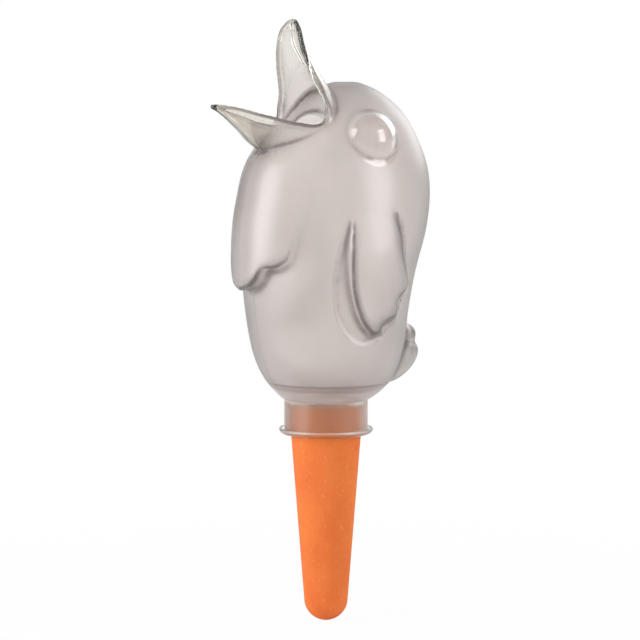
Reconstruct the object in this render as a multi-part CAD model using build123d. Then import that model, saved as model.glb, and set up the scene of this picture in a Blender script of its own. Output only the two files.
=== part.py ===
from build123d import *
import os

# A bird-shaped plant waterer: a clear vessel in two welded halves stands on a hollow clay cone.
# Millimetres. The origin is on the cone's axis at the underside of the seal's lip, where soil begins.
# +Z is up, the beak points along -Y and the bird's left side is +X.

# Collar that takes the clay cone
collar_radius = 18.85
collar_wall = 2.0
collar_top = 15.5

# Vessel body
body_height = 143.4
body_depth = 86.8
body_width = 78.4
shell_wall = 1.8
floor_thickness = 5.9
water_hole_radius = 12.5

# Body sections from the bottom up: height, centre behind the axis, depth and width, each a share
# of the body's height, depth, depth and width
section_shares = (
    (0.031, 0.009, 0.560, 0.620),
    (0.079, 0.014, 0.689, 0.763),
    (0.157, 0.012, 0.788, 0.872),
    (0.282, 0.003, 0.846, 0.936),
    (0.408, 0.015, 0.906, 0.985),
    (0.533, 0.044, 0.979, 1.000),
    (0.644, 0.063, 1.000, 0.969),
    (0.738, 0.069, 0.965, 0.893),
    (0.826, 0.078, 0.839, 0.765),
    (0.891, 0.081, 0.710, 0.645),
    (0.935, 0.090, 0.551, 0.503),
    (0.973, 0.101, 0.346, 0.316),
    (1.000, 0.120, 0.070, 0.066),
)

# Eyes: domes on the widest line of the head
eye_radius = 11.5
eye_rise = 6.0
eye_height_share = 0.839

# Beak: two troughs that meet at the corners of the mouth
beak_wall = 1.8
mouth_width = 44.8
mouth_forward = 13.5
mouth_height_share = 0.889
upper_length = 43.6
upper_depth = 23.5
upper_lean = 6.8
lower_length = 46.0
lower_depth = 25.0
lower_rise = 7.0

# Upper beak stations: distance from the mouth, forward lean, depth and width, as shares of the above
upper_shares = (
    (-0.20, 0.00, 1.02, 0.98),
    (0.00, 0.00, 1.00, 1.00),
    (0.16, 0.07, 0.85, 0.82),
    (0.33, 0.35, 0.75, 0.70),
    (0.56, 0.65, 0.54, 0.58),
    (0.74, 0.88, 0.40, 0.46),
    (0.83, 1.00, 0.35, 0.40),
    (0.94, 0.90, 0.23, 0.28),
    (1.00, 0.70, 0.11, 0.13),
)
# Lower beak stations: distance from the mouth, rise, depth and width, as shares of the above
lower_shares = (
    (-0.08, 0.00, 1.02, 1.00),
    (0.00, 0.00, 1.00, 1.00),
    (0.23, 0.00, 0.86, 0.80),
    (0.43, 0.17, 0.64, 0.62),
    (0.67, 0.63, 0.41, 0.38),
    (0.85, 0.89, 0.22, 0.22),
    (0.95, 0.99, 0.13, 0.15),
    (1.00, 1.00, 0.07, 0.08),
)

# Wings: a raised plate on each side, scalloped behind, that fades into the shoulder
wing_length = 55.0
wing_width = 33.0
wing_rise = 2.2
wing_tip_height = 47.8
wing_front = -10.2
wing_leading_shares = ((0.10, 1.00), (0.0, 0.565), (0.033, 0.39), (0.118, 0.233), (0.245, 0.087), (0.36, 0.0))
wing_scallop_shares = (
    ((0.36, 0.0), (0.45, 0.02), (0.458, 0.082)),
    ((0.458, 0.082), (0.77, 0.165), (0.755, 0.318)),
    ((0.755, 0.318), (0.99, 0.39), (0.879, 0.615)),
)
wing_trailing_shares = ((0.879, 0.615), (0.821, 0.722), (0.842, 0.81), (0.70, 1.00))
sections_below_wing_count = 2
wing_growth_shares = (1.0, 1.0, 1.0, 0.45, -0.9)

# Groove beside each wing's front edge and tip, as shares of the wing's width and length
groove_depth = 0.9
groove_front_shares = (
    (0.07, 1.01), (-0.11, 0.65), (-0.16, 0.35), (-0.08, 0.11), (0.12, -0.05), (0.32, -0.08), (0.52, -0.01),
)
groove_under_wing_shares = ((0.52, -0.01), (0.415, 0.058), (0.31, 0.495), (0.188, 0.95), (0.07, 1.01))

# Breast panel: raised in front, with three rounded tips below
bib_length = 69.8
bib_width = 55.0
bib_rise = 4.7
bib_bottom = 66.2
bib_side_shares = ((0.50, 1.00), (0.94, 0.82), (1.00, 0.60), (0.96, 0.41), (0.87, 0.22), (0.71, 0.157))
bib_tip_shares = (
    ((0.71, 0.157), (0.60, 0.150), (0.49, 0.156)),
    ((0.49, 0.156), (0.35, 0.062), (0.00, 0.0)),
)
sections_below_bib_count = 3
bib_growth_shares = (1.80, 1.14, 0.88, 0.66, 0.38, -0.15)
bib_sideways_share = 0.6

# Tail: two tiers of rounded lobes low on the back
tail_lobe_count = 3
upper_lobe_radius = 5.2
upper_lobe_spacing = 8.5
upper_lobe_height = 44.2
upper_lobe_back = 38.8
lower_lobe_radius = 6.4
lower_lobe_spacing = 9.0
lower_lobe_height = 32.0
lower_lobe_back = 35.4
lower_lobe_stretch = 1.45
lower_lobe_tilt = 32
outer_lobe_step = 2.4

# Clay cone
cone_head_radius = 15.8
cone_plug_depth = 13.6
cone_reach = 85.2
cone_tip_radius = 9.9
cone_wall = 4.0

# Seal between the clay and the collar
seal_lip_radius = 21.3
seal_lip_thickness = 1.6
seal_clearance = 0.05
seat_clearance = 0.05

cut_overrun = 2.0

mouth_height = collar_top + mouth_height_share * body_height
bore_radius = collar_radius - collar_wall
shoulder_height = cone_plug_depth + seat_clearance
floor_height = collar_top + floor_thickness


def body_row(height_share):
    """Centre, half depth and half width of the body at a share of its height."""
    for low, high in zip(section_shares, section_shares[1:]):
        if height_share <= high[0]:
            break
    part_way = (height_share - low[0]) / (high[0] - low[0])
    centre, depth, width = (a + part_way * (b - a) for a, b in zip(low[1:], high[1:]))
    return centre * body_depth, depth * body_depth / 2, width * body_width / 2


def ring(centre, half_width, half_depth):
    """A closed ellipse of two halves that meet on the symmetry plane."""
    half_turn = 180
    halves = [
        EllipticalCenterArc(centre, half_width, half_depth, start_angle=start, arc_size=half_turn)
        for start in (-90, 90)
    ]
    return make_face(halves)


def level_ring(height, centre, half_width, half_depth):
    return Plane.XY.offset(height) * ring((0, centre), half_width, half_depth)


def body_rings(skipped, growths, sideways=1):
    """Body sections above the skipped ones, each grown by its own amount, and to the sides by a share
    of that."""
    rings = []
    for row, growth in zip(section_shares[skipped:], growths):
        centre, half_depth, half_width = body_row(row[0])
        height = collar_top + row[0] * body_height
        rings.append(level_ring(height, centre, half_width + growth * sideways, half_depth + growth))
    return rings


def body_solid():
    foot = level_ring(collar_top, 0, collar_radius, collar_radius)
    return loft([foot] + body_rings(0, [0] * len(section_shares)))


def body_cavity():
    """The inside of the body, from its flat floor up to under the crown."""
    rings = body_rings(0, [-shell_wall] * (len(section_shares) - 1))
    crown = loft(rings)
    above_floor = Pos(0, 0, floor_height + body_height / 2) * Box(body_width * 2, body_depth * 2, body_height)
    return crown & above_floor


def side_prism(edges, low_x, high_x):
    """A prism along X with its outline drawn in the side view, as (y, z) points."""
    return Plane.YZ.offset(low_x) * extrude(make_face(edges), high_x - low_x)


def both_sides(left):
    return [left, mirror(left, about=Plane.YZ)]


def eye_spheres(wall):
    """Sphere pair whose caps stand out of the head, shrunk by a wall to hollow them."""
    sphere_radius = (eye_radius**2 + eye_rise**2) / (2 * eye_rise)
    centre, _, half_width = body_row(eye_height_share)
    height = collar_top + eye_height_share * body_height
    # The poles point forward and back, so they lie inside the head
    eyeball = Rot(90, 0, 0) * Sphere(sphere_radius - wall)
    left = Pos(half_width + eye_rise - sphere_radius, centre, height) * eyeball
    return both_sides(left)


def upper_station(row):
    distance, lean, depth, width = row
    height = mouth_height + distance * upper_length
    rim = -mouth_forward - lean * upper_lean
    return height, rim, depth * upper_depth, width * mouth_width / 2


def lower_station(row):
    distance, rise, depth, width = row
    forward = -mouth_forward - distance * lower_length
    rim = mouth_height + rise * lower_rise
    return forward, rim, depth * lower_depth, width * mouth_width / 2


def upper_beak(wall):
    """The upper trough as a filled half, behind its rims, shrunk by a wall for its hollow."""
    stations = [upper_station(row) for row in upper_shares]
    kept = stations[:-1] if wall else stations
    rings = [level_ring(height, rim, width - wall, depth - wall) for height, rim, depth, width in kept]
    rims = [(rim, height) for height, rim, _, _ in stations]
    back = upper_depth * 2
    top = stations[-1][0] + cut_overrun
    behind = side_prism(
        [
            Spline(*rims[1:]),
            Polyline(
                rims[-1], (rims[-1][0], top), (back, top), (back, rims[0][1] - cut_overrun),
                (rims[1][0], rims[0][1] - cut_overrun), rims[1],
            ),
        ],
        -mouth_width,
        mouth_width,
    )
    return loft(rings) & behind


def lower_beak(wall):
    """The lower trough as a filled half, below its rims, shrunk by a wall for its hollow."""
    stations = [lower_station(row) for row in lower_shares]
    kept = stations[:-1] if wall else stations
    rings = []
    for forward, rim, depth, width in kept:
        across = Plane(origin=(0, forward, rim), x_dir=(1, 0, 0), z_dir=(0, -1, 0))
        rings.append(across * ring((0, 0), width - wall, depth - wall))
    rims = [(forward, rim) for forward, rim, _, _ in stations]
    bottom = mouth_height - lower_depth * 2
    front = stations[-1][0] - cut_overrun
    below = side_prism(
        [
            Spline(*rims[1:]),
            Polyline(
                rims[-1], (front, rims[-1][1]), (front, bottom), (rims[0][0], bottom), rims[0], rims[1],
            ),
        ],
        -mouth_width,
        mouth_width,
    )
    return loft(rings) & below


def gape():
    """The open wedge between the two troughs, from rim to rim, right across the beak."""
    upper = [(rim, height) for height, rim, _, _ in map(upper_station, upper_shares[1:])]
    lower = [(forward, rim) for forward, rim, _, _ in map(lower_station, lower_shares[1:])]
    return side_prism([Spline(*upper), Line(upper[-1], lower[-1]), Spline(*lower)], -body_width, body_width)


def wing_place(share):
    """A point of the side view from shares of the wing's width and length."""
    return wing_front + share[0] * wing_width, wing_tip_height + share[1] * wing_length


def wing_grooves():
    """Shallow scoops that set off each wing's front edge from the body."""
    front = [wing_place(share) for share in groove_front_shares]
    under_wing = [wing_place(share) for share in groove_under_wing_shares]
    outline = side_prism([Spline(*front), Polyline(*under_wing)], 0, body_width)
    left_over = loft(body_rings(0, [-groove_depth] * len(section_shares)))
    return both_sides(outline - left_over)


def wing_plates():
    """Raised plates that follow the body's side, inside the wing's outline in the side view."""
    leading = [wing_place(share) for share in wing_leading_shares]
    trailing = [wing_place(share) for share in wing_trailing_shares]
    edges = [Spline(*leading)]
    edges += [ThreePointArc(*(wing_place(share) for share in arc)) for arc in wing_scallop_shares]
    edges += [Spline(*trailing), Line(trailing[-1], leading[0])]
    outline = side_prism(edges, 0, body_width)
    growths = [share * wing_rise for share in wing_growth_shares]
    grown = loft(body_rings(sections_below_wing_count, growths))
    return both_sides(grown & outline)


def breast_panel():
    """The raised panel in front, with a tip in the middle and a smaller one on each side."""
    def place(share):
        return share[0] * bib_width / 2, bib_bottom + share[1] * bib_length

    side = [place(share) for share in bib_side_shares]
    edges = [Spline(*side)]
    edges += [ThreePointArc(*(place(share) for share in arc)) for arc in bib_tip_shares]
    edges += [Line(edges[-1] @ 1, (0, side[0][1])), Line((0, side[0][1]), side[0])]
    half = extrude(Plane.XZ * make_face(edges), body_depth)
    outline = half + mirror(half, about=Plane.YZ)
    growths = [share * bib_rise for share in bib_growth_shares]
    grown = loft(body_rings(sections_below_bib_count, growths, bib_sideways_share))
    return grown & outline


def tail_lobes():
    """Two tiers of rounded lobes; the lower tier is stretched down along the body's slope."""
    lobes = []
    middle = (tail_lobe_count - 1) / 2
    for index in range(tail_lobe_count):
        step = index - middle
        back = -abs(step) * outer_lobe_step
        upper = Rot(0, 90, 0) * Sphere(upper_lobe_radius)
        lobes.append(Pos(step * upper_lobe_spacing, upper_lobe_back + back, upper_lobe_height) * upper)
        lower = scale(Rot(0, 90, 0) * Sphere(lower_lobe_radius), by=(1, 1, lower_lobe_stretch))
        lower = Rot(-lower_lobe_tilt, 0, 0) * lower
        lobes.append(Pos(step * lower_lobe_spacing, lower_lobe_back + back, lower_lobe_height) * lower)
    return lobes


def vessel():
    """The whole clear vessel, before it is parted into its two mouldings."""
    outside = body_solid() - [gape()] - wing_grooves()
    outside += wing_plates() + [breast_panel()] + eye_spheres(0) + tail_lobes()
    outside += [upper_beak(0), lower_beak(0)]
    collar_bottom = seal_lip_thickness + seat_clearance
    collar_length = collar_top + cut_overrun - collar_bottom
    outside += Pos(0, 0, collar_bottom + collar_length / 2) * Cylinder(collar_radius, collar_length)
    bore = Pos(0, 0, shoulder_height / 2) * Cylinder(bore_radius, shoulder_height)
    hole_length = floor_height - shoulder_height + cut_overrun * 2
    water_hole = Pos(0, 0, (floor_height + shoulder_height) / 2) * Cylinder(water_hole_radius, hole_length)
    hollows = [body_cavity(), bore, water_hole, upper_beak(beak_wall), lower_beak(beak_wall)]
    return outside - hollows - eye_spheres(shell_wall)


def clay_cone():
    """Hollow taper with a round closed tip and a straight head that plugs into the collar."""
    tip_centre = cone_tip_radius - cone_reach
    outside = make_face(
        [
            Polyline((0, cone_plug_depth), (cone_head_radius, cone_plug_depth), (cone_head_radius, 0),
                     (cone_tip_radius, tip_centre)),
            CenterArc((0, tip_centre), cone_tip_radius, 0, -90),
            Line((0, -cone_reach), (0, cone_plug_depth)),
        ]
    )
    inner_tip = cone_tip_radius - cone_wall
    inner_head = cone_head_radius - cone_wall
    hollow = make_face(
        [
            Polyline((0, cone_plug_depth + cut_overrun), (inner_head, cone_plug_depth + cut_overrun),
                     (inner_head, 0), (inner_tip, tip_centre)),
            CenterArc((0, tip_centre), inner_tip, 0, -90),
            Line((0, tip_centre - inner_tip), (0, cone_plug_depth + cut_overrun)),
        ]
    )
    return revolve(Plane.XZ * (outside - hollow), axis=Axis.Z)


def seal_sleeve():
    """Thin sleeve round the clay head, with a rounded lip under the collar."""
    sleeve_radius = bore_radius - seal_clearance
    lip_round = seal_lip_thickness / 2
    profile = make_face(
        [
            Polyline(
                (seal_lip_radius - lip_round, seal_lip_thickness), (sleeve_radius, seal_lip_thickness),
                (sleeve_radius, cone_plug_depth), (cone_head_radius, cone_plug_depth),
                (cone_head_radius, 0), (seal_lip_radius - lip_round, 0),
            ),
            ThreePointArc(
                (seal_lip_radius - lip_round, 0), (seal_lip_radius, lip_round),
                (seal_lip_radius - lip_round, seal_lip_thickness),
            ),
        ]
    )
    return revolve(Plane.XZ * profile, axis=Axis.Z)


def main():
    whole = vessel()
    left = split(whole, bisect_by=Plane.YZ, keep=Keep.TOP)
    parts = {
        "left_shell": left,
        "right_shell": mirror(left, about=Plane.YZ),
        "clay_cone": clay_cone(),
        "seal_sleeve": seal_sleeve(),
    }
    os.makedirs("parts", exist_ok=True)
    for name, part in parts.items():
        export_step(part, f"parts/{name}.step")


if __name__ == "__main__":
    main()
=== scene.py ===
import math

import bpy
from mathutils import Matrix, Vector


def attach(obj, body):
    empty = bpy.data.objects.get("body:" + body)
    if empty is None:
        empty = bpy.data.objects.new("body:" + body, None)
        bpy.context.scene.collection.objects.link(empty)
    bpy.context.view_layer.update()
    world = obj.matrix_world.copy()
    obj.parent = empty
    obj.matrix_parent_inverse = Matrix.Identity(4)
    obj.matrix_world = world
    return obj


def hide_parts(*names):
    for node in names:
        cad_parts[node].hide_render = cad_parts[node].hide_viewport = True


# A bird-shaped plant waterer: a clear moulded vessel in two welded halves on a terracotta cone.
# Sizes are millimetres, turned to metres as pieces are made. The beak points along -Y, the bird's
# left side is +X, and the origin is on the cone's axis where the soil begins.

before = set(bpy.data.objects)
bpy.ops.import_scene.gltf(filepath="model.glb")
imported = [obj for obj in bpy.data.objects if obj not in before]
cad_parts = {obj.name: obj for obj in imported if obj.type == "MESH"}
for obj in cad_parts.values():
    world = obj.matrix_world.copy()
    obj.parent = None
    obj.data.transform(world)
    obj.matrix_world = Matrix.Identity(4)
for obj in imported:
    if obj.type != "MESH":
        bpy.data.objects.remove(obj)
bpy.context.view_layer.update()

MM = 0.001

# Body rings from the collar up: height, centre behind the axis, half depth, half width
BODY_ROWS = (
    (15.5, 0.0, 18.85, 18.85),
    (19.95, 0.78, 24.3, 24.3),
    (26.8, 1.2, 29.9, 29.9),
    (38.0, 1.0, 34.2, 34.2),
    (55.9, 0.3, 36.7, 36.7),
    (74.0, 1.3, 39.3, 38.6),
    (91.9, 3.8, 42.5, 39.2),
    (107.9, 5.5, 43.4, 38.0),
    (121.3, 6.0, 41.9, 35.0),
    (133.9, 6.8, 36.4, 30.0),
    (143.3, 7.0, 30.8, 25.3),
    (149.6, 7.8, 23.9, 19.7),
    (155.0, 8.8, 15.0, 12.4),
    (158.3, 10.0, 5.6, 4.6),
)
FOOT_RADIUS = 18.85
WALL = 1.8
FLOOR_HEIGHT = 21.4
FLOOR_BORE = 12.5
BORE_RADIUS = 16.95
SHOULDER_HEIGHT = 13.65
COLLAR_BOTTOM = 1.65
COLLAR_TOP = 17.5
CONE_TIP = -85.2

# Sides of round shapes and of beaks, and the angle above which an edge stays sharp
ROUND_SIDES = 160
BODY_SIDES = 112
BEAK_SIDES = 96
SHARP = math.radians(50)

# Upper beak, from inside the head to the tip: height, rim in front, depth behind the rim, half width
UPPER_ROWS = (
    (132.0, -12.8, 14.0, 21.0),
    (138.0, -12.8, 14.0, 22.6),
    (143.0, -12.7, 13.5, 23.2),
    (147.2, -12.9, 12.8, 22.8),
    (152.6, -13.6, 12.0, 20.0),
    (158.0, -15.4, 11.2, 17.5),
    (163.5, -17.1, 9.0, 15.7),
    (168.9, -18.4, 6.8, 13.9),
    (174.4, -19.3, 4.4, 11.9),
    (178.8, -19.3, 3.4, 10.6),
    (182.2, -18.8, 2.9, 8.6),
    (184.6, -18.1, 2.3, 5.4),
    (186.2, -17.5, 1.4, 2.4),
)
# Lower beak, from inside the mouth to the tip: forward, rim height, depth below the rim, half width
LOWER_ROWS = (
    (9.0, 141.0, 24.0, 22.6),
    (13.0, 140.6, 24.0, 22.4),
    (16.4, 139.6, 22.5, 21.5),
    (21.0, 140.2, 19.8, 20.0),
    (25.8, 141.0, 17.3, 18.0),
    (32.5, 142.9, 15.6, 14.3),
    (38.2, 144.3, 13.1, 11.9),
    (42.8, 145.8, 10.2, 9.5),
    (48.0, 147.3, 7.3, 6.7),
    (53.2, 148.4, 4.3, 4.2),
    (56.5, 148.6, 2.7, 2.7),
    (58.0, 148.2, 1.6, 1.6),
)
# The mouth's edge in the side view, from the upper tip round the corner to the lower tip
MOUTH_LINE = (
    (-17.5, 186.2), (-18.8, 182.2), (-19.3, 178.8), (-19.3, 174.4), (-18.4, 168.9), (-17.1, 163.5),
    (-15.4, 158.0), (-13.6, 152.6), (-12.9, 147.2), (-12.8, 142.6), (-13.9, 140.2), (-16.4, 139.6),
    (-21.0, 140.2), (-25.8, 141.0), (-32.5, 142.9), (-38.2, 144.3), (-42.8, 145.8), (-48.0, 147.3),
    (-53.2, 148.4), (-56.5, 148.6), (-58.0, 148.2),
)
# Middle of the thick bead that runs round the mouth, on the bird's left: sideways, forward, height,
# share of the full thickness
BEAD_LINE = (
    (0.0, -16.8, 185.3, 0.8), (2.8, -17.2, 184.7, 0.85), (5.6, -17.7, 182.9, 0.9),
    (8.0, -18.1, 180.2, 1), (9.7, -18.3, 177.0, 1), (11.0, -18.1, 173.2, 1), (12.7, -17.3, 168.9, 1),
    (14.5, -16.0, 163.5, 1), (16.3, -14.3, 158.0, 1), (18.8, -12.5, 152.6, 1), (21.5, -11.8, 147.2, 1),
    (21.9, -11.8, 143.6, 1), (21.5, -13.0, 140.6, 1), (20.6, -15.4, 138.9, 1), (19.5, -18.6, 138.6, 1),
    (18.6, -21.4, 139.1, 1), (16.8, -25.8, 139.9, 1), (13.2, -32.5, 141.8, 1), (10.8, -38.2, 143.2, 1),
    (8.4, -42.8, 144.7, 1), (5.6, -48.0, 146.2, 0.95), (3.1, -53.2, 147.2, 0.9),
    (1.5, -56.0, 147.3, 0.85), (0.0, -56.9, 147.1, 0.8),
)
RIM_BEAD = 1.25


# Small helpers

def linear(hex_colour):
    """An sRGB hex colour as linear red, green, blue and alpha."""
    channels = [int(hex_colour[i:i + 2], 16) / 255 for i in (0, 2, 4)]
    return tuple(c / 12.92 if c <= 0.04045 else ((c + 0.055) / 1.055) ** 2.4 for c in channels) + (1,)


def deselect():
    bpy.ops.object.select_all(action="DESELECT")


def take(*pieces):
    """Selects these pieces alone, the last of them active."""
    deselect()
    for piece in pieces:
        piece.select_set(True)
    bpy.context.view_layer.objects.active = pieces[-1]
    return pieces[-1]


def set_down(name):
    """Names the active piece and puts its place into its mesh."""
    piece = bpy.context.object
    piece.name = piece.data.name = name
    bpy.ops.object.transform_apply(location=True, rotation=True, scale=True)
    return piece


def dress(piece, kind, **settings):
    """Adds one modifier and applies it."""
    take(piece)
    modifier = piece.modifiers.new(kind.title(), kind)
    for key, value in settings.items():
        setattr(modifier, key, value)
    bpy.ops.object.modifier_apply(modifier=modifier.name)


def carve(piece, tool, how="DIFFERENCE"):
    """Cuts, keeps or adds with a tool shape, which is then thrown away."""
    dress(piece, "BOOLEAN", operation=how, object=tool, solver="MANIFOLD")
    bpy.data.objects.remove(tool)


def fuse(pieces, name, voxel, passes):
    """Melts overlapping pieces into one skin and softens its edges, as a mould's radii do."""
    whole = take(*pieces)
    bpy.ops.object.join()
    whole.name = whole.data.name = name
    dress(whole, "REMESH", mode="VOXEL", voxel_size=voxel * MM)
    dress(whole, "SMOOTH", factor=0.5, iterations=passes)
    return whole


def outward():
    """Turns the active piece's faces outwards, its doubled points merged first."""
    bpy.ops.object.mode_set(mode="EDIT")
    bpy.ops.mesh.select_all(action="SELECT")
    bpy.ops.mesh.remove_doubles(threshold=0.00001)
    bpy.ops.mesh.normals_make_consistent(inside=False)
    bpy.ops.object.mode_set(mode="OBJECT")


def between(rows, count):
    """Rows of numbers drawn out to more rows on a smooth line through them."""
    drawn = []
    last = len(rows) - 1
    for step in range(last * count + 1):
        index = min(step // count, last - 1)
        part = step / count - index
        p0, p1 = rows[max(index - 1, 0)], rows[index]
        p2, p3 = rows[index + 1], rows[min(index + 2, last)]
        row = []
        for a, b, c, d in zip(p0, p1, p2, p3):
            bend = 2 * b + (c - a) * part + (2 * a - 5 * b + 4 * c - d) * part**2
            row.append((bend + (3 * b - a - 3 * c + d) * part**3) / 2)
        drawn.append(tuple(row))
    return drawn


def mirrored(piece, name):
    """A copy with its own mesh on the bird's right side."""
    take(piece)
    bpy.ops.object.duplicate()
    bpy.ops.transform.resize(value=(-1, 1, 1), center_override=(0, 0, 0))
    twin = set_down(name)
    outward()
    return twin


def stack(name, rows, sides=BODY_SIDES, front_share=1, turn=(0, 0, 0)):
    """A closed form drawn up ring by ring: height, centre, half depth, half width. The half of each
    ring towards -Y is pressed in to a share of its depth."""
    deselect()
    height, centre, depth, width = rows[0]
    bpy.ops.mesh.primitive_circle_add(vertices=sides, radius=1, fill_type="NGON", location=(0, 0, 0))
    piece = bpy.context.object
    bpy.ops.object.mode_set(mode="EDIT")
    if front_share != 1:
        bpy.ops.mesh.select_all(action="DESELECT")
        bpy.ops.object.mode_set(mode="OBJECT")
        for vertex in piece.data.vertices:
            vertex.select = vertex.co.y < -0.001
        bpy.ops.object.mode_set(mode="EDIT")
        bpy.ops.transform.resize(value=(1, front_share, 1), center_override=(0, 0, 0))
        bpy.ops.mesh.select_all(action="SELECT")
    bpy.ops.transform.resize(value=(width * MM, depth * MM, 1), center_override=(0, 0, 0))
    bpy.ops.transform.translate(value=(0, centre * MM, height * MM))
    for (z0, y0, a0, b0), (z1, y1, a1, b1) in zip(rows, rows[1:]):
        bpy.ops.mesh.extrude_region_move(
            TRANSFORM_OT_translate={"value": (0, (y1 - y0) * MM, (z1 - z0) * MM)})
        bpy.ops.transform.resize(value=(b1 / b0, a1 / a0, 1), center_override=(0, y1 * MM, z1 * MM))
    bpy.ops.mesh.select_all(action="SELECT")
    bpy.ops.mesh.normals_make_consistent(inside=False)
    bpy.ops.object.mode_set(mode="OBJECT")
    piece.rotation_euler = turn
    return set_down(name)


def slab(name, outline, low, high, seen_from="side"):
    """A flat outline in the side view (y, z) or the front view (x, z), given depth from low to high."""
    deselect()
    curve = bpy.data.curves.new(name, "CURVE")
    curve.dimensions = "2D"
    curve.fill_mode = "BOTH"
    curve.extrude = (high - low) / 2 * MM
    line = curve.splines.new("POLY")
    line.points.add(len(outline) - 1)
    for point, (across, up) in zip(line.points, outline):
        point.co = (across * MM, up * MM, 0, 1)
    line.use_cyclic_u = True
    piece = bpy.data.objects.new(name, curve)
    bpy.context.collection.objects.link(piece)
    middle = (low + high) / 2 * MM
    if seen_from == "side":
        piece.rotation_euler = (math.pi / 2, 0, math.pi / 2)
        piece.location = (middle, 0, 0)
    else:
        piece.rotation_euler = (math.pi / 2, 0, 0)
        piece.location = (0, -middle, 0)
    take(piece)
    bpy.ops.object.convert(target="MESH")
    piece = set_down(name)
    outward()
    return piece


BOW_STEPS = 6


def bow(start, middle, end):
    """Points on a round bow through three points, without its end."""
    points = []
    for step in range(BOW_STEPS):
        t = step / BOW_STEPS
        a, b, c = (1 - t) * (1 - 2 * t), 4 * t * (1 - t), t * (2 * t - 1)
        points.append(tuple(a * s + b * m + c * e for s, m, e in zip(start, middle, end)))
    return points


def ball(name, place, radius, stretch=1.0, tilt=0.0):
    """A ball, stretched along its upright axis and then tilted about the sideways one."""
    deselect()
    bpy.ops.mesh.primitive_uv_sphere_add(
        segments=64, ring_count=32, radius=radius * MM, location=[p * MM for p in place])
    piece = bpy.context.object
    piece.scale = (1, 1, stretch)
    piece.rotation_euler = (tilt, 0, 0)
    return set_down(name)


def drum(name, radius, low, high):
    """An upright cylinder on the cone's axis."""
    deselect()
    bpy.ops.mesh.primitive_cylinder_add(
        vertices=ROUND_SIDES, radius=radius * MM, depth=(high - low) * MM,
        location=(0, 0, (low + high) / 2 * MM))
    return set_down(name)


# Vessel: skin

FINE_BODY = between(BODY_ROWS, 5)


def growth_at(height, steps):
    """The growth at a height, from (height, growth) steps."""
    for (low, start), (high, end) in zip(steps, steps[1:]):
        if height <= high:
            part = max(0.0, (height - low) / (high - low))
            return start + (end - start) * part
    return steps[-1][1]


def body_grown(name, steps, low, high, sideways=1.0):
    """The body between two heights, its rings moved out front and back, and to the sides by a share."""
    rows = []
    for height, centre, depth, width in FINE_BODY:
        if low <= height <= high:
            growth = growth_at(height, steps)
            rows.append((height, centre, depth + growth, width + growth * sideways))
    return stack(name, rows)


def body_sunk(name, depth):
    """The body from 20 to 150 mm up, its surface moved in by this depth."""
    return body_grown(name, ((0, -depth), (200, -depth)), 20, 150)


body = stack("body", FINE_BODY)

# How far out from the middle the cutting slabs reach: through the left side, the front, both sides
LEFT_SIDE, FRONT_SIDE, BOTH_SIDES = (4, 60), (0, 80), (-40, 40)

# Wing: raised plate inside a scalloped outline, drawn in the side view
WING_LEADING = (
    (-7.6, 102.8), (-9.4, 90.0), (-9.9, 78.9), (-9.2, 69.3), (-6.7, 59.6), (-2.7, 52.0), (2.0, 47.6))
WING_SCALLOPS = (
    ((2.0, 47.6), (6.2, 48.8), (5.0, 53.6)),
    ((5.0, 53.6), (15.4, 56.2), (12.2, 64.5)),
    ((12.2, 64.5), (21.6, 67.2), (19.6, 76.2)),
)
WING_TRAILING = ((19.6, 76.2), (16.8, 83.5), (15.9, 91.0), (12.8, 102.8))
feather_line = [WING_SCALLOPS[0][0]]
for scallop in WING_SCALLOPS:
    feather_line += bow(*scallop)[1:]
feather_line += between(WING_TRAILING, 4)
wing_line = between(WING_LEADING, 6) + feather_line[1:]
WING_GROWTH = ((38, 2.6), (84, 2.6), (97, 1.1), (104, -0.8))
wing_left = body_grown("wing_left", WING_GROWTH, 36, 106)
carve(wing_left, slab("wing_outline", wing_line, *LEFT_SIDE), "INTERSECT")
wing_right = mirrored(wing_left, "wing_right")

# Groove behind the feathers' tips and the wing's back edge
GROOVE_ACROSS, GROOVE_DOWN, GROOVE_DEPTH = 2.6, 1.8, 1.3
groove_line = feather_line + [(y + GROOVE_ACROSS, z - GROOVE_DOWN) for y, z in reversed(feather_line)]
groove_left = slab("groove", groove_line, *LEFT_SIDE)
carve(groove_left, body_sunk("body_left_under", GROOVE_DEPTH))
groove_right = mirrored(groove_left, "groove_right")

# Scoop beside the wing's front edge and tip
SCOOP_FRONT = (
    (-7.9, 103.3), (-13.8, 83.6), (-15.5, 67.0), (-12.8, 53.9), (-6.2, 45.1), (0.4, 43.4), (7.0, 47.3))
SCOOP_BACK = ((7.0, 47.3), (3.5, 51.0), (0.0, 75.0), (-4.0, 100.0))
SCOOP_DEPTH = 1.0
scoop_line = between(SCOOP_FRONT, 6) + between(SCOOP_BACK, 2)[1:]
scoop_left = slab("scoop", scoop_line, *LEFT_SIDE)
carve(scoop_left, body_sunk("body_left_over", SCOOP_DEPTH))
scoop_right = mirrored(scoop_left, "scoop_right")

# Breast panel
BIB_SIDE = ((13.8, 136.0), (25.9, 123.4), (27.5, 108.1), (26.4, 94.8), (23.9, 81.6), (19.5, 77.2))
BIB_TIPS = (
    ((19.5, 77.2), (16.5, 76.7), (13.5, 77.1)),
    ((13.5, 77.1), (9.6, 70.5), (4.0, 67.4)),
)
bib_half = between(BIB_SIDE, 6)
for tip in BIB_TIPS:
    bib_half += bow(*tip)[1:]
bib_half += [(4.0, 67.4), (0.0, 66.2)]
bib_line = bib_half + [(-x, z) for x, z in reversed(bib_half[:-1])]
BIB_GROWTH = (
    (56, 8.8), (70, 7.0), (84, 6.0), (97, 5.0), (108, 3.6), (121, 1.9), (134, 0), (140, -0.7))
bib = body_grown("bib", BIB_GROWTH, 54, 141, sideways=-0.4)
carve(bib, slab("bib_outline", bib_line, *FRONT_SIDE, "front"), "INTERSECT")

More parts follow.
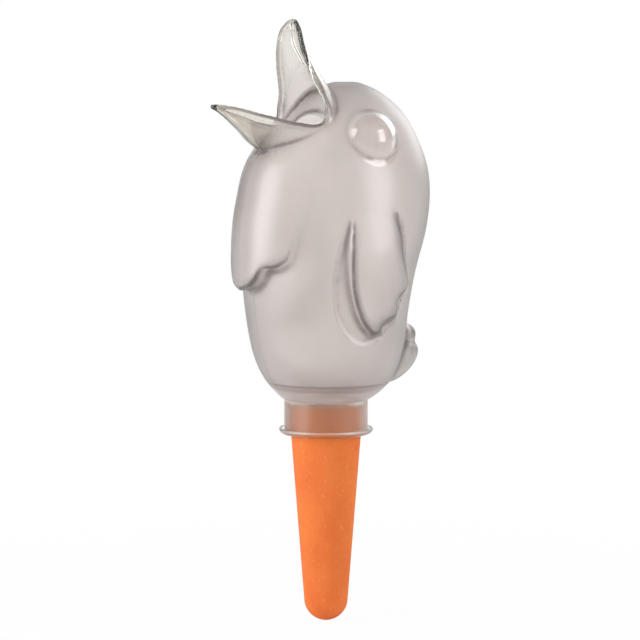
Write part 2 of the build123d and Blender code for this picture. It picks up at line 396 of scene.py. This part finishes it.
# Eyes and tail lobes
EYE = (23.4, 7.4, 132.9)
EYE_RADIUS = 13.3
eye_left = ball("eye_left", EYE, EYE_RADIUS)
eye_right = mirrored(eye_left, "eye_right")
TAIL_SLOPE = math.radians(-52)
lobes = []
for step in (-1, 0, 1):
    lobes.append(ball("tail_upper", (8.5 * step, 38.8 - 2.4 * abs(step), 44.2), 5.2))
    lobes.append(ball("tail_lower", (9.0 * step, 35.2 - 3.2 * abs(step), 31.8), 6.4, 2.0, TAIL_SLOPE))

# The soft panels melt in first, and the scoops, wings and eyes keep crisper edges
skin = fuse([bib, *lobes, body], "skin", voxel=0.7, passes=4)
for hollowed in (scoop_left, scoop_right, groove_left, groove_right):
    carve(skin, hollowed)
skin = fuse([wing_left, wing_right, eye_left, eye_right, skin], "skin", voxel=0.7, passes=3)

take(skin)
bpy.ops.object.duplicate()
cavity = set_down("inside")

# Vessel: beak

upper_fine = between(UPPER_ROWS, 4)
lower_fine = between(LOWER_ROWS, 4)
gape = slab("gape", between(MOUTH_LINE, 5), *BOTH_SIDES)
carve(skin, gape)

FLAT_FRONT = 0.001
LAID_FORWARD = (-math.pi / 2, 0, math.pi)


def lying(rows):
    """Lower beak rings, for a stack that is then laid forward."""
    return [(forward, -rim, depth, width) for forward, rim, depth, width in rows]


upper = stack("upper_beak", upper_fine, BEAK_SIDES, FLAT_FRONT)
lower = stack("lower_beak", lying(lower_fine), BEAK_SIDES, FLAT_FRONT, LAID_FORWARD)
vessel = fuse([upper, lower, skin], "vessel", voxel=0.65, passes=2)

# Vessel: hollow

THINNEST = 0.6
HOLLOW_FRONT = 0.12
FLOOR_CUT = 0.2


def shrunk(rows):
    """Beak rings moved in by the wall, without those that this leaves too small."""
    return [(h, r, d - WALL, w - WALL) for h, r, d, w in rows
            if d - WALL > THINNEST and w - WALL > THINNEST]


dress(cavity, "DISPLACE", strength=-WALL * MM, mid_level=0)
dress(cavity, "REMESH", mode="VOXEL", voxel_size=0.8 * MM)
dress(cavity, "SMOOTH", factor=0.5, iterations=14)
deselect()
bpy.ops.mesh.primitive_cube_add(size=FLOOR_CUT, location=(0, 0, FLOOR_HEIGHT * MM - FLOOR_CUT / 2))
floor_cut = set_down("floor_cut")
carve(cavity, floor_cut)
upper_hollow = stack("upper_hollow", shrunk(upper_fine), BEAK_SIDES, HOLLOW_FRONT)
lower_hollow = stack("lower_hollow", lying(shrunk(lower_fine)), BEAK_SIDES, HOLLOW_FRONT, LAID_FORWARD)
hollow = fuse([upper_hollow, lower_hollow, cavity], "hollow", voxel=0.8, passes=4)
carve(vessel, hollow)

# Rounded bead round the whole rim of the mouth
rim_loop = BEAD_LINE + tuple((-x, y, z, share) for x, y, z, share in BEAD_LINE[-2:0:-1])
curve = bpy.data.curves.new("rim_bead", "CURVE")
curve.dimensions = "3D"
curve.bevel_depth = RIM_BEAD * MM
curve.bevel_resolution = 4
curve.resolution_u = 10
line = curve.splines.new("BEZIER")
line.bezier_points.add(len(rim_loop) - 1)
for point, (x, y, z, share) in zip(line.bezier_points, rim_loop):
    point.co = (x * MM, y * MM, z * MM)
    point.radius = share
    point.handle_left_type = point.handle_right_type = "AUTO"
line.use_cyclic_u = True
rim_bead = bpy.data.objects.new("rim_bead", curve)
bpy.context.collection.objects.link(rim_bead)
take(rim_bead)
bpy.ops.object.convert(target="MESH")
rim_bead = set_down("rim_bead")
outward()
vessel = fuse([rim_bead, vessel], "vessel", voxel=0.78, passes=3)

# Collar, its bore and the hole for the water come last and keep sharp edges. The cuts start and end
# clear of the plastic.
BELOW_COLLAR, INSIDE_BORE, ABOVE_FLOOR = -5, 10, 26
carve(vessel, drum("collar", FOOT_RADIUS, COLLAR_BOTTOM, COLLAR_TOP), "UNION")
carve(vessel, drum("bore", BORE_RADIUS, BELOW_COLLAR, SHOULDER_HEIGHT))
carve(vessel, drum("water_hole", FLOOR_BORE, INSIDE_BORE, ABOVE_FLOOR))

# Vessel: two welded halves, whose faces in the weld lie within WELD_FACE of the middle

WELD_GAP, WELD_FACE = 0.00002, 0.00003

take(vessel)
bpy.ops.object.mode_set(mode="EDIT")
bpy.ops.mesh.select_all(action="SELECT")
bpy.ops.mesh.bisect(plane_co=(WELD_GAP, 0, 0), plane_no=(1, 0, 0), use_fill=True, clear_inner=True)
bpy.ops.object.mode_set(mode="OBJECT")
left_half = set_down("left_half")
bpy.ops.object.shade_smooth_by_angle(angle=SHARP)
right_half = mirrored(left_half, "right_half")

# Seal: a thin sleeve between the clay and the collar, with a lip that curls up round its edge

SEAL_PROFILE = (
    (15.6, 0.0), (17.6, -0.05), (18.9, 0.1), (20.0, 0.5), (20.8, 1.15), (21.25, 2.0), (21.2, 2.65),
    (20.85, 2.95), (20.45, 2.75), (20.25, 2.2), (19.8, 1.75), (19.1, 1.5), (17.2, 1.42), (16.75, 1.7),
    (16.75, 5.0), (16.75, 13.3), (16.6, 13.6), (15.6, 13.6), (15.6, 7.0),
)


def ringed(name, profile):
    """A closed outline of (radius, height) points, spun round the axis."""
    deselect()
    curve = bpy.data.curves.new(name, "CURVE")
    curve.dimensions = "3D"
    line = curve.splines.new("POLY")
    line.points.add(len(profile) - 1)
    for point, (radius, height) in zip(line.points, profile):
        point.co = (radius * MM, 0, height * MM, 1)
    line.use_cyclic_u = True
    piece = bpy.data.objects.new(name, curve)
    bpy.context.collection.objects.link(piece)
    take(piece)
    bpy.ops.object.convert(target="MESH")
    bpy.ops.object.mode_set(mode="EDIT")
    bpy.ops.mesh.select_all(action="SELECT")
    bpy.ops.mesh.spin(steps=ROUND_SIDES, angle=2 * math.pi, center=(0, 0, 0), axis=(0, 0, 1))
    bpy.ops.object.mode_set(mode="OBJECT")
    piece = set_down(name)
    outward()
    return piece


seal = ringed("seal", SEAL_PROFILE)
dress(seal, "SUBSURF", levels=1, render_levels=1)
bpy.ops.object.shade_smooth_by_angle(angle=SHARP)

# Materials

def fill(tree, made, inputs):
    """Sets each input of a node to a value, or links it from (node, output)."""
    for socket, value in inputs.items():
        if isinstance(value, tuple) and isinstance(value[0], bpy.types.Node):
            tree.links.new(value[0].outputs[value[1]], made.inputs[socket])
        else:
            made.inputs[socket].default_value = value
    return made


def node(tree, kind, inputs, **settings):
    """Adds one node with its settings and inputs."""
    made = tree.nodes.new(kind)
    for key, value in settings.items():
        setattr(made, key, value)
    return fill(tree, made, inputs)


def material(name):
    """A new material, its node tree and its shader."""
    made = bpy.data.materials.new(name)
    made.use_nodes = True
    return made, made.node_tree, made.node_tree.nodes["Principled BSDF"]


def surface(tree, shown):
    """Shows this shader in place of the one that the tree began with."""
    tree.links.new(shown.outputs[0], tree.nodes["Material Output"].inputs["Surface"])


def per(size):
    """Pattern scale for a feature of this many millimetres."""
    return 1 / (size * MM)


def span(start, end):
    """The range of a map, from one place to another in millimetres."""
    return {1: start * MM, 2: end * MM}


def swing(low, high):
    """The ranges of a map that turns a noise's usual values into those from low to high."""
    return {1: 0.3, 2: 0.7, 3: low, 4: high}


EASED = {"interpolation_type": "SMOOTHSTEP"}


def wear(piece, *finishes):
    """Gives a piece these materials and no others."""
    piece.data.materials.clear()
    for finish in finishes:
        piece.data.materials.append(finish)


# Clear polystyrene, injection moulded in two halves. The body's skin is faintly etched, so it shows
# a soft haze and broad highlights. The beak and the eyes come off polished steel, clear as glass. The
# collar is etched too, but is thin enough to show the clay without haze.
BODY_ROUGH, CLEAR_ROUGH = (0.285, 0.34), (0.06, 0.10)
BODY_PASSING, CLEAR_PASSING, FLOOR_PASSING_SHARE = (0.73, 0.87), 0.99, 0.7
# Tints of the wall; the darkest, the collar ends' and the floor line's are colours of painted shade
BODY_TINT, BEAK_TINT, PAINTED_SHADE_TINT, COLLAR_END_SHADE = "F2EBE8", "E6E1D9", "665A54", "E6D2C6"
COLLAR_TINT, FLOOR_TINT, FLOOR_TOP_TINT, FLOOR_EDGE_SHADE = "FFF1E4", "EBE3E1", "F0E8E6", "C4B6B1"
plastic, tree, shader = material("clear polystyrene")
place = node(tree, "ShaderNodeTexCoord", {})
axes = node(tree, "ShaderNodeSeparateXYZ", {0: (place, "Object")})
side = node(tree, "ShaderNodeMath", {0: (axes, "X")}, operation="ABSOLUTE")

# Places without haze: behind the rim of the upper beak, the lower beak's tip, the eyes' domes, the collar
upper_front = node(tree, "ShaderNodeMapRange", {0: (axes, "Y"), **span(-9.5, -12.5)}, **EASED)
upper_high = node(tree, "ShaderNodeMapRange", {0: (axes, "Z"), **span(138, 142.5)}, **EASED)
upper_clear = node(tree, "ShaderNodeMath", {0: (upper_front, 0), 1: (upper_high, 0)}, operation="MULTIPLY")
lower_front = node(tree, "ShaderNodeMapRange", {0: (axes, "Y"), **span(-29, -36)}, **EASED)
lower_high = node(tree, "ShaderNodeMapRange", {0: (axes, "Z"), **span(123, 130)}, **EASED)
lower_clear = node(tree, "ShaderNodeMath", {0: (lower_front, 0), 1: (lower_high, 0)}, operation="MULTIPLY")
beak_clear = node(tree, "ShaderNodeMath", {0: (upper_clear, 0), 1: (lower_clear, 0)}, operation="MAXIMUM")
eye_rise = node(tree, "ShaderNodeVectorMath", {0: (place, "Object"), 1: (0, EYE[1] * MM, EYE[2] * MM)},
                operation="SUBTRACT")
eye_flat = node(tree, "ShaderNodeVectorMath", {0: (eye_rise, 0), 1: (0, 1, 1)}, operation="MULTIPLY")
eye_reach = node(tree, "ShaderNodeVectorMath", {0: (eye_flat, 0)}, operation="LENGTH")
eye_round = node(tree, "ShaderNodeMapRange", {0: (eye_reach, "Value"), **span(12.2, 11.2)}, **EASED)
eye_out = node(tree, "ShaderNodeMapRange", {0: (side, 0), **span(20, 24)}, **EASED)
eye_clear = node(tree, "ShaderNodeMath", {0: (eye_round, 0), 1: (eye_out, 0)}, operation="MULTIPLY")
collar_clear = node(tree, "ShaderNodeMapRange", {0: (axes, "Z"), **span(16.5, 14.8)}, **EASED)
polished = node(tree, "ShaderNodeMath", {0: (beak_clear, 0), 1: (eye_clear, 0)}, operation="MAXIMUM")
clear = node(tree, "ShaderNodeMath", {0: (polished, 0), 1: (collar_clear, 0)}, operation="MAXIMUM")

# Flow of the melt leaves the haze a little uneven
haze = node(tree, "ShaderNodeTexNoise",
            {"Vector": (place, "Object"), "Scale": per(26), "Detail": 3.0, "Roughness": 0.45})
haze_rough = node(tree, "ShaderNodeMapRange", {0: (haze, 0), **swing(*BODY_ROUGH)})
# Fine rubbed marks from handling, drawn 0.7 mm wide so that they show
stretch = node(tree, "ShaderNodeMapping", {0: (place, "Object"), "Scale": (per(0.7), per(0.9), per(11))})
scuff = node(tree, "ShaderNodeTexNoise", {"Vector": (stretch, 0), "Scale": 1.0, "Detail": 2.0})
scuff_rough = node(tree, "ShaderNodeMapRange", {0: (scuff, 0), 1: 0.62, 2: 0.78, 3: 0.0, 4: 0.05})
clear_rough = node(tree, "ShaderNodeMapRange", {0: (haze, 0), **swing(*CLEAR_ROUGH)})
body_rough = node(tree, "ShaderNodeMath", {0: (haze_rough, 0), 1: (scuff_rough, 0)}, operation="ADD")
rough = node(tree, "ShaderNodeMix", {0: (polished, 0), 2: (body_rough, 0), 3: (clear_rough, 0)})
milky = node(tree, "ShaderNodeMapRange", {0: (haze, 0), **swing(*BODY_PASSING)})
# The solid floor is hazier, being the thickest part
solid_floor = node(tree, "ShaderNodeMapRange",
                   {0: (axes, "Z"), **span(21.6, 20.6), 3: 1.0, 4: FLOOR_PASSING_SHARE})
milky = node(tree, "ShaderNodeMath", {0: (milky, 0), 1: (solid_floor, 0)}, operation="MULTIPLY")
passing = node(tree, "ShaderNodeMix", {0: (clear, 0), 2: (milky, 0), 3: CLEAR_PASSING})

# Colour of the tinted wall, with painted shade that darkens it at its edges and in its creases, where
# light goes a long way through the wall
tint = node(tree, "ShaderNodeMix",
            {0: (beak_clear, 0), 6: linear(BODY_TINT), 7: linear(BEAK_TINT)}, data_type="RGBA")
# The floor above the collar is solid and tinted as a darker band, with a line of painted shade along its
# sharp upper edge
foot = node(tree, "ShaderNodeMapRange", {0: (axes, "Z"), **span(14, 26)})
foot_tint = node(tree, "ShaderNodeValToRGB", {0: (foot, 0)})
FOOT_TINTS = (
    (0.08, COLLAR_TINT), (0.18, FLOOR_TINT), (0.77, FLOOR_TOP_TINT), (0.80, FLOOR_EDGE_SHADE), (0.83, FLOOR_EDGE_SHADE),
    (0.89, "FFFFFF"))
for element in list(foot_tint.color_ramp.elements)[1:]:
    foot_tint.color_ramp.elements.remove(element)
foot_tint.color_ramp.elements[0].color = linear(COLLAR_TINT)
for share_up, shade in FOOT_TINTS:
    foot_tint.color_ramp.elements.new(share_up).color = linear(shade)
higher = node(tree, "ShaderNodeMapRange", {0: (axes, "Z"), **span(14.8, 16.5)}, **EASED)
tint = node(tree, "ShaderNodeMix", {0: (higher, 0), 6: (1, 1, 1, 1), 7: (tint, 2)}, data_type="RGBA")
tint = node(tree, "ShaderNodeMix", {0: 1.0, 6: (tint, 2), 7: (foot_tint, 0)}, data_type="RGBA",
            blend_type="MULTIPLY")
# Painted shade: darker towards the outline by facing, and in creases by ambient occlusion seen from
# outside
edge = node(tree, "ShaderNodeLayerWeight", {"Blend": 0.5})
edge_share = node(tree, "ShaderNodeMapRange", {0: (edge, "Facing"), 1: 0.42, 2: 0.98, 3: 0.0, 4: 0.95},
                  **EASED)
crease = node(tree, "ShaderNodeAmbientOcclusion", {"Distance": 3.0 * MM}, samples=6, only_local=True)
crease_share = node(tree, "ShaderNodeMapRange", {0: (crease, "AO"), 1: 0.985, 2: 0.78, 3: 0.0, 4: 0.97},
                    **EASED)
inside_wall = node(tree, "ShaderNodeNewGeometry", {})
outer_side = node(tree, "ShaderNodeMath", {0: 1.0, 1: (inside_wall, "Backfacing")}, operation="SUBTRACT")
crease_out = node(tree, "ShaderNodeMath", {0: (crease_share, 0), 1: (outer_side, 0)}, operation="MULTIPLY")
painted_shade = node(tree, "ShaderNodeMath", {0: (edge_share, 0), 1: (crease_out, 0)}, operation="MAXIMUM")
# Painted shade along the sharp turns of the wings, panels and rim, where light runs sideways: darker where
# pointiness is high or low, less on the beak, none at the weld
weld = node(tree, "ShaderNodeMapRange", {0: (side, 0), **span(0.9, 0.15)}, **EASED)
raised = node(tree, "ShaderNodeMapRange", {0: (inside_wall, "Pointiness"), 1: 0.507, 2: 0.526}, **EASED)
sunken = node(tree, "ShaderNodeMapRange", {0: (inside_wall, "Pointiness"), 1: 0.495, 2: 0.478}, **EASED)
sunken = node(tree, "ShaderNodeMath", {0: (sunken, 0), 1: 0.9}, operation="MULTIPLY")
turned = node(tree, "ShaderNodeMath", {0: (raised, 0), 1: (sunken, 0)}, operation="MAXIMUM")
turn_share = node(tree, "ShaderNodeMapRange", {0: (beak_clear, 0), 3: 0.88, 4: 0.5})
turned = node(tree, "ShaderNodeMath", {0: (turned, 0), 1: (turn_share, 0)}, operation="MULTIPLY")
turned = node(tree, "ShaderNodeMath", {0: (turned, 0), 1: (weld, 0)}, operation="SUBTRACT", use_clamp=True)
painted_shade = node(tree, "ShaderNodeMath", {0: (painted_shade, 0), 1: (turned, 0)}, operation="MAXIMUM")
above = node(tree, "ShaderNodeMapRange", {0: (axes, "Z"), **span(20, 26)}, **EASED)
painted_shade = node(tree, "ShaderNodeMath", {0: (painted_shade, 0), 1: (above, 0)}, operation="MULTIPLY")
colour = node(tree, "ShaderNodeMix", {0: (painted_shade, 0), 6: (tint, 2), 7: linear(PAINTED_SHADE_TINT)}, data_type="RGBA")
# Painted shade at both ends of the collar's outline, beside the clay, where the wall is seen thick: a dull
# pink by facing
collar_end_shade = node(tree, "ShaderNodeMapRange", {0: (edge, "Facing"), 1: 0.40, 2: 0.62}, **EASED)
collar_end_shade = node(tree, "ShaderNodeMath", {0: (collar_end_shade, 0), 1: (collar_clear, 0)}, operation="MULTIPLY")
colour = node(tree, "ShaderNodeMix", {0: (collar_end_shade, 0), 6: (colour, 2), 7: linear(COLLAR_END_SHADE)},
              data_type="RGBA")

# Ridge where the halves are welded, and the faint waves of a moulded skin
waves = node(tree, "ShaderNodeTexNoise", {"Vector": (place, "Object"), "Scale": per(3.2), "Detail": 1.0})
wave_bump = node(tree, "ShaderNodeBump", {"Height": (waves, 0), "Strength": 0.12, "Distance": 0.12 * MM})
weld_bump = node(tree, "ShaderNodeBump",
                 {"Height": (weld, 0), "Strength": 1.0, "Distance": 0.2 * MM, "Normal": (wave_bump, 0)})
fill(tree, shader, {
    "Base Color": (colour, 2), "Roughness": (rough, 0), "IOR": 1.59, "Transmission Weight": (passing, 0),
    "Normal": (weld_bump, 0)})

# Inside the weld the plastic runs on, with no surface for light to meet
weld_face, tree, shader = material("welded joint")
tree.nodes.remove(shader)
surface(tree, node(tree, "ShaderNodeBsdfTransparent", {}))

# Terracotta, pressed and fired unglazed: dry, finely gritty and a little lighter where it dried first.
# Under the collar its colour is painted lighter and more orange, as painted light
# Colours of the clay; the brightest orange is painted light for the clay under the collar
FIRED, FIRED_LIGHT, PAINTED_LIGHT_TINT = "E36F31", "EF8341", "FFA23C"
GRIT_TINT, CHALK_TINT = "C2552A", "FBAE78"
clay, tree, shader = material("terracotta")
place = node(tree, "ShaderNodeTexCoord", {})
cloud = node(tree, "ShaderNodeTexNoise",
             {"Vector": (place, "Object"), "Scale": per(21), "Detail": 4.0, "Roughness": 0.6})
cloud_share = node(tree, "ShaderNodeMapRange", {0: (cloud, 0), **swing(0.0, 1.0)})
fired = node(tree, "ShaderNodeMix",
             {0: (cloud_share, 0), 6: linear(FIRED), 7: linear(FIRED_LIGHT)}, data_type="RGBA")
# Grit of a quarter of a millimetre, drawn at half a millimetre so that it shows
grit = node(tree, "ShaderNodeTexNoise",
            {"Vector": (place, "Object"), "Scale": per(0.55), "Detail": 3.0, "Roughness": 0.7})
grit_share = node(tree, "ShaderNodeMapRange", {0: (grit, 0), 1: 0.60, 2: 0.74, 3: 0.0, 4: 0.45})
specked = node(tree, "ShaderNodeMix",
               {0: (grit_share, 0), 6: (fired, 2), 7: linear(GRIT_TINT)}, data_type="RGBA")
chalk = node(tree, "ShaderNodeTexNoise", {"Vector": (place, "Object"), "Scale": per(1.7), "Detail": 3.0})
chalk_share = node(tree, "ShaderNodeMapRange", {0: (chalk, 0), 1: 0.60, 2: 0.76, 3: 0.0, 4: 0.30})
dust_and_painted_light = node(tree, "ShaderNodeMix",
              {0: (chalk_share, 0), 6: (specked, 2), 7: linear(CHALK_TINT)}, data_type="RGBA")
axes = node(tree, "ShaderNodeSeparateXYZ", {0: (place, "Object")})
# Painted light: the clay is painted lighter and more orange from the collar's lower edge upwards
painted_light = node(tree, "ShaderNodeMapRange", {0: (axes, "Z"), **span(0.8, 2.2), 3: 0.0, 4: 0.95})
dust_and_painted_light = node(tree, "ShaderNodeMix",
              {0: (painted_light, 0), 6: (dust_and_painted_light, 2), 7: linear(PAINTED_LIGHT_TINT)}, data_type="RGBA")
dry = node(tree, "ShaderNodeMapRange", {0: (cloud, 0), **swing(0.74, 0.9)})
grit_bump = node(tree, "ShaderNodeBump", {"Height": (grit, 0), "Strength": 0.35, "Distance": 0.25 * MM})
hand_bump = node(tree, "ShaderNodeBump",
                 {"Height": (cloud, 0), "Strength": 0.4, "Distance": 0.8 * MM, "Normal": (grit_bump, 0)})
fill(tree, shader, {
    "Base Color": (dust_and_painted_light, 2), "Roughness": (dry, 0), "Specular IOR Level": 0.3, "Normal": (hand_bump, 0)})

# Clear silicone rubber, moulded: waxy, slightly milky, with a soft satin skin that holds some dust
SILICONE_CLEAR, SILICONE_MILKY = "FFFDFA", "F9F6F0"
rubber, tree, shader = material("clear silicone")
place = node(tree, "ShaderNodeTexCoord", {})
milk = node(tree, "ShaderNodeTexNoise", {"Vector": (place, "Object"), "Scale": per(6), "Detail": 3.0})
milk_share = node(tree, "ShaderNodeMapRange", {0: (milk, 0), **swing(0.0, 1.0)})
milky = node(tree, "ShaderNodeMix",
             {0: (milk_share, 0), 6: linear(SILICONE_CLEAR), 7: linear(SILICONE_MILKY)}, data_type="RGBA")
skin_rough = node(tree, "ShaderNodeMapRange", {0: (milk, 0), **swing(0.29, 0.34)})
dust = node(tree, "ShaderNodeTexNoise", {"Vector": (place, "Object"), "Scale": per(0.8), "Detail": 2.0})
dust_bump = node(tree, "ShaderNodeBump", {"Height": (dust, 0), "Strength": 0.15, "Distance": 0.1 * MM})
fill(tree, shader, {
    "Base Color": (milky, 2), "Roughness": (skin_rough, 0), "IOR": 1.41, "Transmission Weight": 0.995,
    "Normal": (dust_bump, 0)})

for half, name in ((left_half, "left_shell"), (right_half, "right_shell")):
    wear(half, plastic, weld_face)
    for face in half.data.polygons:
        if abs(face.center.x) < WELD_FACE:
            face.material_index = 1
    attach(half, "vessel")
    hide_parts(name)
wear(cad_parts["clay_cone"], clay)
wear(seal, rubber)
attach(seal, "spike")
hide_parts("seal_sleeve")

# Studio

deselect()
GROUND_SIZE, GROUND_GAP = 40, 0.0003
bpy.ops.mesh.primitive_plane_add(size=GROUND_SIZE, location=(0, 0, CONE_TIP * MM - GROUND_GAP))
ground = bpy.context.object
ground.name = "ground"


def seen_directly(tree):
    """One for rays from the camera, from gloss and through clear pieces, and none for the rest."""
    path = node(tree, "ShaderNodeLightPath", {})
    seen = node(tree, "ShaderNodeMath", {0: (path, "Is Camera Ray"), 1: (path, "Is Glossy Ray")},
                operation="ADD")
    seen = node(tree, "ShaderNodeMath", {0: (seen, 0), 1: (path, "Is Transmission Ray")},
                operation="ADD", use_clamp=True)
    return path, seen


# White paper sweep: matt, and bright white behind the object, with the shadow kept near it
paper, tree, shader = material("white paper")
fill(tree, shader, {"Base Color": linear("F4F4F4"), "Roughness": 0.9})
_, seen = seen_directly(tree)
place = node(tree, "ShaderNodeTexCoord", {})
reach = node(tree, "ShaderNodeVectorMath", {0: (place, "Object")}, operation="LENGTH")
white_share = node(tree, "ShaderNodeMapRange", {0: (reach, "Value"), 1: 0.1, 2: 0.45, 3: 0.965, 4: 1.0},
                   **EASED)
glow = node(tree, "ShaderNodeEmission", {"Strength": 1.0})
share = node(tree, "ShaderNodeMath", {0: (seen, 0), 1: (white_share, 0)}, operation="MULTIPLY")
surface(tree, node(tree, "ShaderNodeMixShader", {0: (share, 0), 1: (shader, 0), 2: (glow, 0)}))
wear(ground, paper)

# White studio behind, with grey cards left and right that give clear edges their dark lines
world = bpy.data.worlds.new("studio")
bpy.context.scene.world = world
world.use_nodes = True
tree = world.node_tree
tree.nodes.clear()
path, seen = seen_directly(tree)
LEFT_WAY = (-0.5, -0.866, 0)
place = node(tree, "ShaderNodeTexCoord", {})
leftness = node(tree, "ShaderNodeVectorMath", {0: (place, "Generated"), 1: LEFT_WAY},
                operation="DOT_PRODUCT")
axes = node(tree, "ShaderNodeSeparateXYZ", {0: (place, "Generated")})
left_card = node(tree, "ShaderNodeMapRange", {0: (leftness, "Value"), 1: 0.3, 2: 0.8, 3: 1.0, 4: 0.25},
                 **EASED)
right_card = node(tree, "ShaderNodeMapRange", {0: (leftness, "Value"), 1: -0.6, 2: -0.95, 3: 1.0, 4: 0.55},
                  **EASED)
ceiling = node(tree, "ShaderNodeMapRange", {0: (axes, "Z"), 1: 0.5, 2: 0.95, 3: 1.0, 4: 0.65},
               **EASED)
cards = node(tree, "ShaderNodeMath", {0: (left_card, 0), 1: (right_card, 0)}, operation="MULTIPLY")
cards = node(tree, "ShaderNodeMath", {0: (cards, 0), 1: (ceiling, 0)}, operation="MULTIPLY")
plain = node(tree, "ShaderNodeMath", {0: (cards, 0), 1: (path, "Is Camera Ray")}, operation="MAXIMUM")
room = node(tree, "ShaderNodeBackground", {"Color": (1, 1, 1, 1), "Strength": 0.4})
studio = node(tree, "ShaderNodeBackground", {"Color": (1, 1, 1, 1), "Strength": (plain, 0)})
mixed = node(tree, "ShaderNodeMixShader", {0: (seen, 0), 1: (room, 0), 2: (studio, 0)})
node(tree, "ShaderNodeOutputWorld", {"Surface": (mixed, 0)})


LAMP_TARGET = Vector((0, 0, 0.09))


def lamp(name, azimuth, height, distance, size, radiance):
    """A soft box that faces the body's middle."""
    turn = math.radians(azimuth)
    place = Vector((math.sin(turn) * distance, -math.cos(turn) * distance, height))
    data = bpy.data.lights.new(name, "AREA")
    data.shape = "RECTANGLE"
    data.size, data.size_y = size
    data.energy = radiance * math.pi * size[0] * size[1]
    box = bpy.data.objects.new(name, data)
    bpy.context.collection.objects.link(box)
    box.location = place
    box.rotation_euler = (LAMP_TARGET - place).to_track_quat("-Z", "Y").to_euler()


lamp("left_box", azimuth=-6, height=0.38, distance=1.1, size=(0.70, 1.10), radiance=4.8)
lamp("right_box", azimuth=122, height=0.40, distance=1.0, size=(0.48, 0.75), radiance=4.2)
lamp("rim_box", azimuth=205, height=0.55, distance=1.1, size=(0.7, 0.6), radiance=2.0)

scene = bpy.context.scene
scene.view_settings.view_transform = "Standard"

# Camera: front left of the bird, five degrees above level and 1.2 m away. It stands a little to the
# left of the cone's axis, which the photograph shows right of its middle.
CAMERA_AZIMUTH, CAMERA_RISE, CAMERA_DISTANCE = 60, 5.2, 1.2
AIM_HEIGHT, AIM_ASIDE = 51.5, 2.7
turn, rise = math.radians(CAMERA_AZIMUTH), math.radians(CAMERA_RISE)
back = Vector((math.sin(turn) * math.cos(rise), -math.cos(turn) * math.cos(rise), math.sin(rise)))
aside = Vector((math.cos(turn), math.sin(turn), 0))
camera = bpy.data.objects.new("camera", bpy.data.cameras.new("camera"))
bpy.context.collection.objects.link(camera)
camera.location = Vector((0, 0, AIM_HEIGHT * MM)) - aside * AIM_ASIDE * MM + back * CAMERA_DISTANCE
camera.rotation_euler = (-back).to_track_quat("-Z", "Y").to_euler()
camera.data.sensor_width = 36
camera.data.lens = 150
scene.camera = camera
